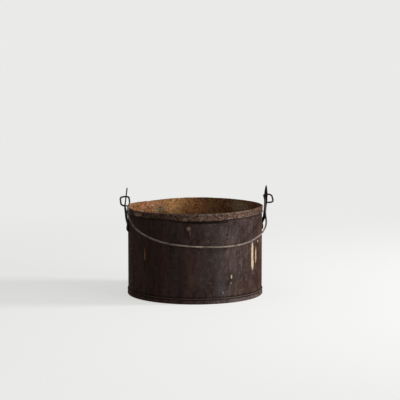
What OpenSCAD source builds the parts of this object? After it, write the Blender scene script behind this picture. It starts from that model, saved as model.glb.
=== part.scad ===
// Sheet-iron bucket with a hemmed rim, a pressed bottom pan, two riveted strap
// ears and a swinging wire bail. Millimetres. +Z is up, the origin is the middle
// of the underside, and the bail turns about X. The front is -Y.

/* [Body] */
// Outside diameter of the rolled wall
wall_d = 200; // [150:5:300]
// Height from the ground to the top of the rim
body_h = 131.5; // [100:0.5:240]
// Thickness of the sheet that the wall and the bottom pan are made of
sheet_t = 1; // [0.6:0.1:1.6]

/* [Rim] */
// Height of the hem that is folded down outside the wall
hem_h = 10; // [6:0.5:16]
// Gap left between the wall and the folded sheet
hem_gap = 0.4; // [0.2:0.1:1.2]

/* [Seam] */
// Width of the lap where the rolled sheet closes
lap_w = 14; // [8:1:24]
// Direction of the lap, 90 being straight behind
lap_at = 104; // [70:1:110]
// Space left between the lap and the folded edges above and below it
lap_clearance = 1; // [0.5:0.1:3]

/* [Bottom] */
// Height of the turned-up flange around the foot of the wall
flange_h = 8.5; // [5:0.5:16]
// Gap between the flange and the wall
flange_clearance = 0.05; // [0.02:0.01:0.3]

/* [Ears] */
// Thickness of the ear strap
ear_t = 1.8; // [1.2:0.1:3]
// Width of the strap beside the rim
strap_w = 14; // [10:0.5:18]
// Width of the leaf-shaped head
head_w = 19; // [17:0.5:28]
// Length of the leaf from point to point
head_l = 38; // [30:1:50]
// Width of the foot that lies on the wall
foot_w = 19; // [17:0.5:24]
// Height of the foot
foot_h = 9; // [8:0.5:14]
// How far the foot reaches below the rim
strap_drop = 37; // [32:0.5:60]
// Bulge of the left strap above its foot, outward from a straight line
left_belly = 1; // [0:0.1:3]
// Bulge of the right strap above its foot, outward from a straight line
right_belly = 2.2; // [0:0.1:3]
// Height of the eye hole above the rim
pivot_rise = 14.8; // [13:0.2:20]
// Height of the point of the leaf above the rim
tip_rise = 28.3; // [25:0.5:36]
// Height above the rim at which the strap bends into the head
knee_rise = 1; // [0:0.5:3]
// Outward offset of the left hole from the wall
left_hole_out = 3.2; // [2.6:0.1:8]
// Outward offset of the right hole from the wall
right_hole_out = 7.4; // [5:0.1:10]
// Inward lean of the left head, in degrees
left_lean = 7; // [0:0.5:7.5]
// Inward lean of the right head, negative leaning outward
right_lean = -2; // [-5:0.5:4]
// Twist of the left head about its upright line
left_twist = 6; // [-2:0.5:7]
// Twist of the right head about its upright line
right_twist = 1; // [-4:0.5:6]
// Gap between the curved foot and the wall
foot_clearance = 0.05; // [0.02:0.01:0.3]

/* [Rivets] */
// Diameter of the rivet shank
rivet_d = 4; // [3:0.2:5]
// Diameter of the domed head outside
rivet_head_d = 7.6; // [6:0.2:9]
// Height of the domed head
rivet_head_h = 0.8; // [0.6:0.1:2.4]
// Diameter of the hammered tail inside
rivet_tail_d = 6.4; // [5.4:0.2:8]
// Height of the hammered tail
rivet_tail_h = 0.9; // [0.6:0.1:2]
// Distance between the two rivets of an ear
rivet_spacing = 9.6; // [9:0.2:12]
// Gap around the shank
rivet_clearance = 0.05; // [0.02:0.01:0.2]

/* [Bail] */
// Diameter of the bail wire
wire_d = 2.6; // [2:0.1:3.4]
// Angle of the resting bail from straight down, in degrees
bail_fall = 58.5; // [50:0.5:70]
// Gap between the resting wire and the metal it hangs beside
bail_gap = 0.5; // [0.3:0.1:2]
// Play of the wire in the eye holes, on the radius
hole_play = 0.8; // [0.3:0.1:1.2]
// Length of the left eye, measured along the bail
left_eye_l = 21.5; // [18.5:0.5:30]
// Length of the right eye, measured along the bail
right_eye_l = 19.5; // [18.5:0.5:30]
// Distance from the left leg to the outer side of its eye
left_eye_w = 13.2; // [12:0.1:18]
// Distance from the right leg to the outer side of its eye
right_eye_w = 12.1; // [12:0.1:18]
// Bend radius of the eyes where they leave the legs
eye_bend_in = 3; // [2.6:0.1:4]
// Bend radius of the outer corners of the eyes
eye_bend_out = 5.4; // [3:0.1:5.6]
// Gap between the end of an eye and its leg
eye_end_gap = 0.3; // [0.2:0.1:1]
// Distance of the left leg inside the middle of its ear
left_leg_inset = 4.2; // [4.2:0.1:6]
// Distance of the right leg inside the middle of its ear
right_leg_inset = 3.6; // [2.9:0.1:6]
// Extra room between the left leg and the rim
left_leg_flare = 2.4; // [0:0.1:6]
// Extra room between the right leg and the rim
right_leg_flare = 0.2; // [0:0.1:6]
// How far the left leg draws in again below the rim
left_leg_tuck = 0; // [0:0.1:6]
// How far the right leg draws in again below the rim
right_leg_tuck = 4.4; // [0:0.1:6]
// Length of the cut-off corner at the left shoulder, along the leg
left_shoulder = 27.7; // [15:0.5:40]
// Length of the cut-off corner at the right shoulder, along the leg
right_shoulder = 31; // [15:0.5:40]
// Slope of the grip towards the left shoulder, in degrees
left_slope = 13.5; // [4:0.5:18]
// Slope of the grip towards the right shoulder, in degrees
right_slope = 5.5; // [4:0.5:18]
// Offset of the lowest point of the grip to the right
grip_offset = 13.5; // [-20:0.5:20]
// Bend radius of the grip
grip_bend = 236; // [120:2:260]
// Bend radii of the left shoulder, from the leg to the grip
left_bends = [62, 88]; // [20:1:90]
// Bend radii of the right shoulder, from the leg to the grip
right_bends = [57, 72]; // [20:1:90]
// Length of each leg that stays straight past the point of the leaf
leg_past_tip = 1; // [1:0.5:6]
// Bend radius of the legs past the point of the leaf
kink_bend = 10; // [6:1:14]
// Bend radius of the legs where they pass the rim
leg_bend = 24; // [10:1:40]
// Extra thickness of the wire in its bends
bend_swell = 0.04; // [0.03:0.01:0.1]

/* [Hidden] */
$fn = 96;

wall_r = wall_d / 2;
wire_r = wire_d / 2;
hem_r = wall_r + hem_gap + sheet_t;
fold_r = (hem_r - (wall_r - sheet_t)) / 2;
fold_z = body_h - fold_r;
pan_r = wall_r + flange_clearance;
pivot_z = body_h + pivot_rise;
hole_r = wire_r + hole_play;
bend_overlap = 0.2;
knee_z = body_h + knee_rise;
head_rise = pivot_z - knee_z;
foot_top = body_h - strap_drop + foot_h;
rivet_z = foot_top - foot_h / 2;
left_hole_r = wall_r + left_hole_out;
right_hole_r = wall_r + right_hole_out;

// Where the bail's wire passes the top of the rim, along the bail and forward.
rim_reach = pivot_rise / cos(bail_fall);
kink_v = tip_rise - pivot_rise + leg_past_tip;
rim_forward = (pivot_rise - wire_r) * tan(bail_fall);
leg_u = sqrt(pow(hem_r + wire_r + bail_gap, 2) - pow(rim_forward, 2));

// The grip is an arc whose lowest point is off the middle, so it comes nearest to
// the wall on the other side of the middle. This places it to leave the gap there.
wire_clear_r = wall_r + wire_r + bail_gap;
grip_share = wire_clear_r * sin(bail_fall) / grip_bend;
grip_v = norm([wire_clear_r, grip_offset * sqrt(grip_share / (1 - grip_share))]) / sin(bail_fall);

// ---------------------------------------------------------------- helpers

// A 2D cap of the given base radius and height, for turning into a dome.
module cap_profile(r, h) {
    ball_r = (r * r + h * h) / (2 * h);
    intersection() {
        translate([0, h - ball_r]) circle(ball_r);
        square([r, h]);
    }
}

// Places children at a rivet, their z pointing straight out through the foot.
// side is 1 right or -1 left, along is 1 for the back rivet and -1 for the front.
module at_rivet(side, along) {
    translate([0, along * rivet_spacing / 2, rivet_z]) rotate([0, side * 90, 0]) children();
}

module rivet_holes(side) {
    for (along = [-1, 1])
        at_rivet(side, along)
            translate([0, 0, wall_r - 5 * sheet_t])
                cylinder(h = 5 * sheet_t + 3 * ear_t, r = rivet_d / 2 + rivet_clearance);
}

// ---------------------------------------------------------------- body

// Rolled sheet, its top edge folded out and down, closed by a lap at the back.
module wall() {
    color([0.20, 0.15, 0.12]) difference() {
        union() {
            rotate_extrude() {
                translate([wall_r - sheet_t, sheet_t]) square([sheet_t, fold_z - sheet_t]);
                translate([hem_r - sheet_t, body_h - hem_h])
                    square([sheet_t, fold_z - (body_h - hem_h)]);
                translate([hem_r - fold_r, fold_z]) difference() {
                    circle(fold_r);
                    circle(hem_gap / 2);
                    translate([-2 * fold_r, -4 * fold_r]) square(4 * fold_r);
                }
            }
            lap();
        }
        rivet_holes(-1);
        rivet_holes(1);
    }
}

module lap() {
    lap_low = flange_h + lap_clearance;
    lap_high = body_h - hem_h - lap_clearance;
    lap_angle = 360 * lap_w / (2 * PI * wall_r);
    rotate([0, 0, lap_at - lap_angle / 2])
        rotate_extrude(angle = lap_angle)
            translate([wall_r - sheet_t / 2, lap_low])
                square([1.4 * sheet_t, lap_high - lap_low]);
}

// Disc with its edge turned up outside the wall.
module bottom_pan() {
    color([0.17, 0.13, 0.11]) rotate_extrude() {
        square([pan_r, sheet_t]);
        translate([pan_r, sheet_t]) square([sheet_t, flange_h - sheet_t]);
        translate([pan_r, sheet_t]) intersection() {
            circle(sheet_t);
            translate([0, -sheet_t]) square(sheet_t);
        }
    }
}

// ---------------------------------------------------------------- ears

// Front view of the leaf: two arcs that meet in a point at each end.
module leaf() {
    arc_r = (pow(head_l / 2, 2) + pow(head_w / 2, 2)) / head_w;
    translate([0, body_h + tip_rise - head_l / 2]) intersection() {
        translate([head_w / 2 - arc_r, 0]) circle(arc_r);
        translate([arc_r - head_w / 2, 0]) circle(arc_r);
    }
}

// Stands a 2D outline (across, up) up in the YZ plane, reaching from x0 to x1.
module upright(x0, x1) {
    translate([x0, 0, 0]) rotate([90, 0, 90]) linear_extrude(x1 - x0) children();
}

// Side view of the foot and the slanted strap, up to the knee.
module strap_side(knee_r, belly) {
    foot_in = sqrt(wall_r * wall_r - foot_w * foot_w / 4) - sheet_t / 4;
    foot_out = wall_r + foot_clearance + ear_t;
    foot_low = foot_top - foot_h;
    belly_z = (foot_top + body_h - hem_h) / 2;
    knee_out = knee_r + ear_t / 2;
    belly_out = belly
        + foot_out + (knee_out - foot_out) * (belly_z - foot_top) / (knee_z - foot_top);
    polygon([
        [foot_in, foot_low], [foot_out, foot_low], [foot_out, foot_top], [belly_out, belly_z],
        [knee_out, knee_z], [knee_out - ear_t, knee_z], [belly_out - ear_t, belly_z],
        [foot_in, foot_top],
    ]);
}

// One ear of the right-hand side, its hole at distance hole_at from the axis.
module ear(hole_at, lean, twist, belly) {
    knee_r = hole_at + head_rise * tan(lean);
    reach = 2 * tip_rise;
    difference() {
        union() {
            intersection() {
                translate([0, strap_w, 0]) rotate([90, 0, 0])
                    linear_extrude(2 * strap_w) strap_side(knee_r, belly);
                upright(0, 2 * wall_r) {
                    translate([-strap_w / 2, foot_top - foot_h / 2])
                        square([strap_w, strap_drop + foot_h]);
                    translate([-foot_w / 2, foot_top - foot_h]) square([foot_w, foot_h]);
                }
            }
            translate([knee_r, 0, knee_z]) rotate([0, -lean, twist])
                translate([0, 0, -knee_z]) intersection() {
                    upright(-ear_t / 2, ear_t / 2) leaf();
                    translate([-reach, -reach, knee_z - ear_t / 4]) cube(2 * reach);
                }
        }
        cylinder(h = 2 * body_h, r = wall_r + foot_clearance);
        rivet_holes(1);
        translate([hole_at - 3 * ear_t, 0, pivot_z]) rotate([0, 90, 0])
            cylinder(h = 6 * ear_t, r = hole_r);
    }
}

module left_ear() {
    color([0.14, 0.11, 0.10]) mirror([1, 0, 0])
        ear(left_hole_r, left_lean, left_twist, left_belly);
}

module right_ear() {
    color([0.14, 0.11, 0.10]) ear(right_hole_r, right_lean, right_twist, right_belly);
}

// Shank through the ear and the wall, domed outside and hammered flat inside.
module rivet(side, along) {
    head_at = wall_r + foot_clearance + ear_t;
    tail_at = sqrt(pow(wall_r - sheet_t, 2) - pow((rivet_spacing + rivet_tail_d) / 2, 2));
    color([0.18, 0.14, 0.12]) at_rivet(side, along) rotate_extrude() {
        translate([0, head_at]) cap_profile(rivet_head_d / 2, rivet_head_h);
        translate([0, tail_at - rivet_tail_h / 2])
            square([rivet_d / 2, head_at - tail_at + (rivet_head_h + rivet_tail_h) / 2]);
        mirror([0, 1]) translate([0, -tail_at]) cap_profile(rivet_tail_d / 2, rivet_tail_h);
    }
}

module left_ear_front_rivet() { rivet(-1, -1); }
module left_ear_back_rivet() { rivet(-1, 1); }
module right_ear_front_rivet() { rivet(1, -1); }
module right_ear_back_rivet() { rivet(1, 1); }

// ---------------------------------------------------------------- bail

function unit(v) = v / norm(v);
// Half of the change of direction at corner i, in degrees.
function half_turn(p, i) =
    acos(min(1, unit(p[i] - p[i - 1]) * unit(p[i + 1] - p[i]))) / 2;
// Length of straight that the bend at corner i takes from each side of it.
function setback(p, r, i) = i == 0 || i == len(p) - 1 ? 0 : r[i] * tan(half_turn(p, i));
function heading(a, b) = atan2(b[1] - a[1], b[0] - a[0]);
// Bend radius at corner i, less than r[i] where the bend at corner j leaves less wire.
function fitted(p, r, i, j) =
    min(r[i], (norm(p[j] - p[i]) - setback(p, r, j) - 3 * bend_overlap) / tan(half_turn(p, i)));

// Round wire along the corners p, bent to radius r[i] at corner i, in the XY plane.
// The bends are a hair thicker, so that each straight ends inside its bends.
module bent_wire(p, r, d) {
    for (i = [0 : len(p) - 2]) {
        along = unit(p[i + 1] - p[i]);
        from = p[i] + along * (i == 0 ? 0 : setback(p, r, i) - bend_overlap);
        to = p[i + 1] - along * (i == len(p) - 2 ? 0 : setback(p, r, i + 1) - bend_overlap);
        translate([from[0], from[1], 0]) rotate([0, 0, heading(from, to)]) rotate([0, 90, 0])
            cylinder(h = norm(to - from), d = d);
    }
    for (i = [1 : len(p) - 2]) {
        before = unit(p[i] - p[i - 1]);
        after = unit(p[i + 1] - p[i]);
        left_hand = before[0] * after[1] - before[1] * after[0] > 0 ? 1 : -1;
        start = p[i] - before * setback(p, r, i);
        centre = start + left_hand * r[i] * [-before[1], before[0]];
        first = heading(centre, start);
        sweep = 2 * half_turn(p, i);
        translate([centre[0], centre[1], 0])
            rotate([0, 0, left_hand > 0 ? first : first - sweep])
                rotate_extrude(angle = sweep) translate([r[i], 0]) circle(d = d + bend_swell);
    }
}

// Corners of one side, from the end of the eye to the grip, in the bail's own
// plane: x outward from the middle, y along the bail from its turning line.
function side_corners(leg_at, eye_w, eye_l, flare, tuck, shoulder, slope, grip) =
    let (rim_u = leg_u + flare,
         leg_slope = (rim_u - leg_at) / (rim_reach - kink_v),
         leg_beside_end = leg_at + leg_slope * (eye_l - kink_v),
         eye_end = leg_beside_end + wire_r * (norm([1, leg_slope]) + abs(leg_slope)) + eye_end_gap,
         low_u = rim_u - tuck,
         low_v = grip[1] - (low_u - grip[0]) * tan(slope),
         cut = shoulder / (1 - tan(slope)))
    [[eye_end, eye_l], [leg_at + eye_w, eye_l], [leg_at + eye_w, 0], [leg_at, 0],
     [leg_at, kink_v], [rim_u, rim_reach], [low_u, low_v - shoulder], [low_u - cut, low_v - shoulder + cut]];

function mirrored(p) = [for (q = p) [-q[0], q[1]]];
function reversed(p) = [for (i = [len(p) - 1 : -1 : 0]) p[i]];

module bail() {
    half = (left_slope + right_slope) / 2;
    skew = (right_slope - left_slope) / 2;
    grip = [grip_offset + grip_bend * sin(skew) / cos(half),
            grip_v + grip_bend * (cos(skew) / cos(half) - 1)];
    left = side_corners(left_hole_r - left_leg_inset, left_eye_w, left_eye_l, left_leg_flare,
                        left_leg_tuck, left_shoulder, left_slope, [-grip[0], grip[1]]);
    right = side_corners(right_hole_r - right_leg_inset, right_eye_w, right_eye_l,
                         right_leg_flare, right_leg_tuck, right_shoulder, right_slope, grip);
    corners = concat(mirrored(left), [grip], reversed(right));
    eye_bends = [0, eye_bend_out, eye_bend_out, eye_bend_in, kink_bend, leg_bend];
    wanted = concat(eye_bends, left_bends, [grip_bend], reversed(concat(eye_bends, right_bends)));
    at_grip = len(left);
    bends = [for (i = [0 : len(wanted) - 1])
        abs(i - at_grip) == 1 ? fitted(corners, wanted, i, at_grip) : wanted[i]];
    color([0.36, 0.31, 0.27]) translate([0, 0, pivot_z]) rotate([270 - bail_fall, 0, 0])
        bent_wire(corners, bends, wire_d);
}

// ---------------------------------------------------------------- assembly

wall();
bottom_pan();
left_ear();
right_ear();
left_ear_front_rivet();
left_ear_back_rivet();
right_ear_front_rivet();
right_ear_back_rivet();
bail();
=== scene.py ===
"""Rusty sheet-iron bucket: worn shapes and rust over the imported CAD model.

Shapes are worked out in mm, and shaders, camera, lights and stage in metres. The front is -Y.
Angles around the body are given from the front, turned 8 degrees to the left, because that is
the side the camera looks at: see FRONT.
"""

import math

import bpy
import numpy as np
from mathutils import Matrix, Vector


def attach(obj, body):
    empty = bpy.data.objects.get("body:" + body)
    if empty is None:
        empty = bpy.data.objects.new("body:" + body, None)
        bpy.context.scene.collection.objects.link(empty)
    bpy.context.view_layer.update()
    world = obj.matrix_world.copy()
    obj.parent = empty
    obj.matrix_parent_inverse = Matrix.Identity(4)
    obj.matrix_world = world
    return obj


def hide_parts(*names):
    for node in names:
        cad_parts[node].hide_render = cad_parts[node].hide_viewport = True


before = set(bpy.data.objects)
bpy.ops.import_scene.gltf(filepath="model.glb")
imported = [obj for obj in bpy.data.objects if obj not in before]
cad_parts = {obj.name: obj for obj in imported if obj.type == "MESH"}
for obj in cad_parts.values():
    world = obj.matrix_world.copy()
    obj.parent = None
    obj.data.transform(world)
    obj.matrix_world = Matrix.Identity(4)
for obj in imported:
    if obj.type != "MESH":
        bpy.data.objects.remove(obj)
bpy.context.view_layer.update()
rng = np.random.default_rng(7)

# ------------------------------------------------------------------ sizes, in mm

MM = 0.001
FRONT = -98.0
WALL_R, SHEET, BODY_H = 100.0, 1.0, 131.5
HEM_R, HEM_LOW, FOLD_R = 101.4, 121.5, 1.2
FOLD_Z = BODY_H - FOLD_R
PAN_R, FLANGE_H = 100.05, 8.5
LAP_AT, LAP_W, LAP_LOW, LAP_HIGH, LAP_RISE = 104.0, 14.0, 9.5, 120.5, 0.85
PIVOT_Z, HOLE_R, LEFT_HOLE, RIGHT_HOLE = 146.3, 2.1, 103.2, 107.4
EAR_T, FOOT_LOW, FOOT_TOP, KNEE_Z, TIP_Z = 1.8, 94.5, 103.5, 132.5, 159.8
STRAP_HALF, FOOT_EXTRA, HEAD_W, HEAD_L = 7.0, 2.5, 19.0, 38.0
RIVET_Z, RIVET_Y = 99.0, 4.8
WIRE_R, BAIL_FALL = 1.3, 58.5

# ------------------------------------------------------------------ camera and light, in metres


def make_camera():
    """The photo's view: 8 degrees to the left of -Y, and a little above."""
    turn, lift, distance = math.radians(-8.0), math.radians(8.7), 2.5
    back = Vector((math.sin(turn) * math.cos(lift), -math.cos(turn) * math.cos(lift),
                   math.sin(lift)))
    right = Vector((math.cos(turn), math.sin(turn), 0))
    up = Vector((-math.sin(lift) * math.sin(turn), math.sin(lift) * math.cos(turn),
                 math.cos(lift)))
    middle = Vector((0, 0, 0.07))
    aim_right, aim_up = 0.0075, 0.0690
    data = bpy.data.cameras.new("camera")
    data.lens, data.sensor_width = 150.3, 36
    data.clip_end = 50
    camera = bpy.data.objects.new("camera", data)
    camera.location = middle + distance * back
    aim = middle + aim_right * right + aim_up * up - camera.location
    camera.rotation_euler = aim.to_track_quat("-Z", "Y").to_euler()
    bpy.context.scene.collection.objects.link(camera)
    bpy.context.scene.camera = camera


def area_light(name, direction, distance, size, level):
    """Soft lamp. level is the share of plain light it gives to a face that looks at it."""
    data = bpy.data.lights.new(name, "AREA")
    data.shape, data.size, data.size_y = "RECTANGLE", size[0], size[1]
    data.energy = level * math.pi ** 2 * distance ** 2
    lamp = bpy.data.objects.new(name, data)
    way = Vector(direction).normalized()
    lamp.location = Vector((0, 0, 0.09)) + distance * way
    lamp.rotation_euler = (-way).to_track_quat("-Z", "Y").to_euler()
    bpy.context.scene.collection.objects.link(lamp)


make_camera()
bpy.context.scene.view_settings.view_transform = "Standard"
area_light("key", (0.95, -0.15, 0.27), 2.2, (0.5, 0.6), 0.95)
area_light("fill", (0.69, -0.69, 0.22), 2.2, (1.3, 1.0), 0.34)

# ------------------------------------------------------------------ shader helpers


def add_node(tree, kind, inputs=None, **settings):
    """New node. Each input, by name or number, takes a link or a value; colours have 3 parts."""
    node = tree.nodes.new(kind)
    for key, value in settings.items():
        setattr(node, key, value)
    for key, value in (inputs or {}).items():
        socket = node.inputs[key]
        if isinstance(value, bpy.types.NodeSocket):
            tree.links.new(value, socket)
        else:
            socket.default_value = (*value, 1) if socket.type == "RGBA" else value
    return node


class Shader:
    """Builds one material's nodes. Colours are linear RGB, and sizes are in metres."""

    def __init__(self, name):
        self.material = bpy.data.materials.new(name)
        self.material.use_nodes = True
        self.tree = self.material.node_tree
        self.tree.nodes.clear()
        self.place = self.add("ShaderNodeTexCoord").outputs["Object"]

    def add(self, kind, inputs=None, **settings):
        return add_node(self.tree, kind, inputs, **settings)

    def math(self, operation, a, b=0.0):
        return self.add("ShaderNodeMath", {0: a, 1: b}, operation=operation).outputs[0]

    def times(self, *values):
        result = values[0]
        for value in values[1:]:
            result = self.math("MULTIPLY", result, value)
        return result

    def plus(self, a, b):
        return self.math("ADD", a, b)

    def centred(self, noise):
        return self.math("SUBTRACT", noise, 0.5)

    def ramp(self, value, low, high, to_low=0.0, to_high=1.0):
        """Smooth step of value from low to high."""
        ends = {"From Min": low, "From Max": high, "To Min": to_low, "To Max": to_high}
        return self.add("ShaderNodeMapRange", {"Value": value, **ends},
                        interpolation_type="SMOOTHSTEP").outputs[0]

    def mix(self, factor, a, b, blend="MIX"):
        """Colour a with colour b laid over it; sockets 6, 7 and output 2 are the colour ones."""
        return self.add("ShaderNodeMix", {0: factor, 6: a, 7: b}, data_type="RGBA",
                        blend_type=blend).outputs[2]

    def dot(self, direction):
        return self.add("ShaderNodeVectorMath", {0: self.place, 1: direction},
                        operation="DOT_PRODUCT").outputs["Value"]

    def upright(self, share):
        """Place with its height scaled down, so that a noise read there runs up and down."""
        return self.add("ShaderNodeVectorMath", {0: self.place, 1: (1, 1, share)},
                        operation="MULTIPLY").outputs["Vector"]

    def noise(self, scale, detail=4.0, rough=0.55, warp=0.0, at=None):
        return self.add("ShaderNodeTexNoise", {
            "Vector": at or self.place, "Scale": scale, "Detail": detail, "Roughness": rough,
            "Distortion": warp}).outputs[0]

    def cells(self, scale):
        return self.add("ShaderNodeTexVoronoi", {"Vector": self.place, "Scale": scale},
                        feature="F1").outputs["Distance"]

    def attribute(self, name):
        return self.add("ShaderNodeAttribute", attribute_name=name).outputs["Fac"]

    def height(self):
        return self.dot((0, 0, 1))

    def across(self, angle):
        """Distance around the body from the line at this angle, and how far that side faces."""
        a = math.radians(FRONT + angle)
        return self.dot((-math.sin(a), math.cos(a), 0)), self.dot((math.cos(a), math.sin(a), 0))

    def patch(self, angle, z, wide, high, soft, ragged, grain):
        """Mask of a ragged oval at this angle and height, half sizes in mm."""
        u, facing = self.across(angle)
        u = self.math("DIVIDE", u, wide * MM)
        v = self.math("DIVIDE", self.math("SUBTRACT", self.height(), z * MM), high * MM)
        far = self.math("SQRT", self.plus(self.times(u, u), self.times(v, v)))
        far = self.plus(far, self.times(self.centred(self.noise(grain, 3.0)), 2 * ragged))
        here = self.ramp(far, 1.0 + soft / 2, max(0.0, 1.0 - soft / 2))
        return self.times(here, self.ramp(facing, 0.0, 0.02))

    def marked(self, colour, marks, soft, ragged, grain, *masks):
        """Colour with the marks of one of the tables below laid over it."""
        for angle, z, wide, high, strength, tint in marks:
            patch = self.patch(angle, z, wide, high, soft, ragged, grain)
            colour = self.mix(self.times(patch, *masks, strength), colour, tint)
        return colour

    def bump(self, height, distance, below=None):
        inputs = {"Height": height, "Distance": distance}
        if below is not None:
            inputs["Normal"] = below
        return self.add("ShaderNodeBump", inputs).outputs[0]

    def finish(self, colour, roughness, normal, specular):
        surface = self.add("ShaderNodeBsdfPrincipled", {
            "Base Color": colour, "Roughness": roughness, "Normal": normal,
            "Specular IOR Level": specular})
        self.add("ShaderNodeOutputMaterial", {"Surface": surface.outputs[0]})
        return self.material


# ------------------------------------------------------------------ shape helpers, in mm


def smooth(x, low, high):
    t = np.clip((x - low) / (high - low), 0, 1)
    return t * t * (3 - 2 * t)


def bell(x, middle, width):
    return np.exp(-((x - middle) / width) ** 2)


def ring_noise(angles, heights, cells_around, cell_high, octaves=3, fade=0.5):
    """Smooth random field, -1 to 1, over angle in degrees (it closes) and height."""
    total, gain, full = 0.0, 1.0, 0.0
    for octave in range(octaves):
        n, size = cells_around * 2 ** octave, cell_high / 2 ** octave
        rows = 4 + int(np.ceil((np.max(heights) - np.min(heights)) / size))
        grid = rng.uniform(-1, 1, (n, rows))
        u = (angles % 360) / 360 * n
        v = (heights - np.min(heights)) / size
        i, j = np.floor(u).astype(int), np.floor(v).astype(int)
        fu, fv = u - i, v - j
        fu, fv = fu * fu * (3 - 2 * fu), fv * fv * (3 - 2 * fv)
        i0, i1 = i % n, (i + 1) % n
        low = grid[i0, j] * (1 - fu) + grid[i1, j] * fu
        high = grid[i0, j + 1] * (1 - fu) + grid[i1, j + 1] * fu
        total = total + gain * (low * (1 - fv) + high * fv)
        full += gain
        gain *= fade
    return total / full


def from_front(angle):
    """World angle in degrees to the angle from the front line, -180 to 180."""
    return (angle - FRONT + 180) % 360 - 180


def around(points, x):
    """Smooth closed curve through (angle from the front, value) points."""
    a = np.array([p[0] for p in points], float)
    v = np.array([p[1] for p in points], float)
    a = np.concatenate([a[-2:] - 360, a, a[:2] + 360])
    v = np.concatenate([v[-2:], v, v[:2]])
    k = np.clip(np.searchsorted(a, x, "right") - 1, 1, len(a) - 3)
    t = (x - a[k]) / (a[k + 1] - a[k])
    m0 = (v[k + 1] - v[k - 1]) / (a[k + 1] - a[k - 1]) * (a[k + 1] - a[k])
    m1 = (v[k + 2] - v[k]) / (a[k + 2] - a[k]) * (a[k + 1] - a[k])
    return ((2 * t ** 3 - 3 * t ** 2 + 1) * v[k] + (t ** 3 - 2 * t ** 2 + t) * m0
            + (-2 * t ** 3 + 3 * t ** 2) * v[k + 1] + (t ** 3 - t ** 2) * m1)


def make_object(name, points, faces, material, body, nodes, attributes=None):
    """Mesh piece from points in mm, which rides on a body and stands for CAD nodes."""
    mesh = bpy.data.meshes.new(name)
    mesh.from_pydata([], [], [])
    mesh.vertices.add(len(points))
    mesh.vertices.foreach_set("co", (np.asarray(points, float) * MM).ravel())
    sizes = np.array([len(f) for f in faces])
    mesh.loops.add(int(sizes.sum()))
    mesh.loops.foreach_set("vertex_index", np.concatenate([np.asarray(f) for f in faces]))
    mesh.polygons.add(len(faces))
    mesh.polygons.foreach_set("loop_start", np.concatenate([[0], np.cumsum(sizes)[:-1]]))
    mesh.polygons.foreach_set("use_smooth", np.ones(len(faces), bool))
    mesh.update(calc_edges=True)
    mesh.validate()
    for key, values in (attributes or {}).items():
        layer = mesh.attributes.new(key, "FLOAT", "POINT")
        layer.data.foreach_set("value", np.asarray(values, np.float32).ravel())
    mesh.materials.append(material)
    piece = bpy.data.objects.new(name, mesh)
    bpy.context.scene.collection.objects.link(piece)
    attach(piece, body)
    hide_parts(*nodes)
    return piece


def grid_faces(columns, rows, close_columns=True, close_rows=False):
    """Quads of a grid whose point (i, j) has index i * rows + j."""
    i = np.arange(columns if close_columns else columns - 1)
    j = np.arange(rows if close_rows else rows - 1)
    i, j = [x.ravel() for x in np.meshgrid(i, j, indexing="ij")]
    i1, j1 = (i + 1) % columns, (j + 1) % rows
    return np.stack([i * rows + j, i1 * rows + j, i1 * rows + j1, i * rows + j1], 1)


def stack_rings(column, rings):
    """Radius and height over columns by rows, and the rows of each part.

    Each ring is a (radius, height) pair: numbers, one value a column or one value a row.
    """
    parts = [np.broadcast_arrays(column, r, z)[1:] for r, z in rings]
    radius, z = (np.concatenate([part[k] for part in parts], 1) for k in (0, 1))
    return radius, z, [part[0].shape[1] for part in parts]


def lathe_points(column, radius, z):
    a = np.radians(column)
    return np.stack([radius * np.cos(a), radius * np.sin(a), z], -1).reshape(-1, 3)


# ------------------------------------------------------------------ wall

# Height by which age has lifted or sunk the rim, by angle from the front.
RIM_WARP = [(-160, -0.9), (-135, -2.0), (-108, -0.7), (-84, 0.0), (-64, -1.2), (-38, -0.5),
            (-10, 0.0), (22, 0.5), (50, 1.4), (68, 1.8), (98, 0.2), (140, -0.3), (175, -0.2)]
# Single dents: angle from the front and half width in degrees, height, half height, depth.
DENTS = [(-38, 7, 40, 16, 0.5), (29, 3.2, 101, 4, 0.45), (5, 9, 22, 9, 0.35)]
EARS_AT = (98, -82)


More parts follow.
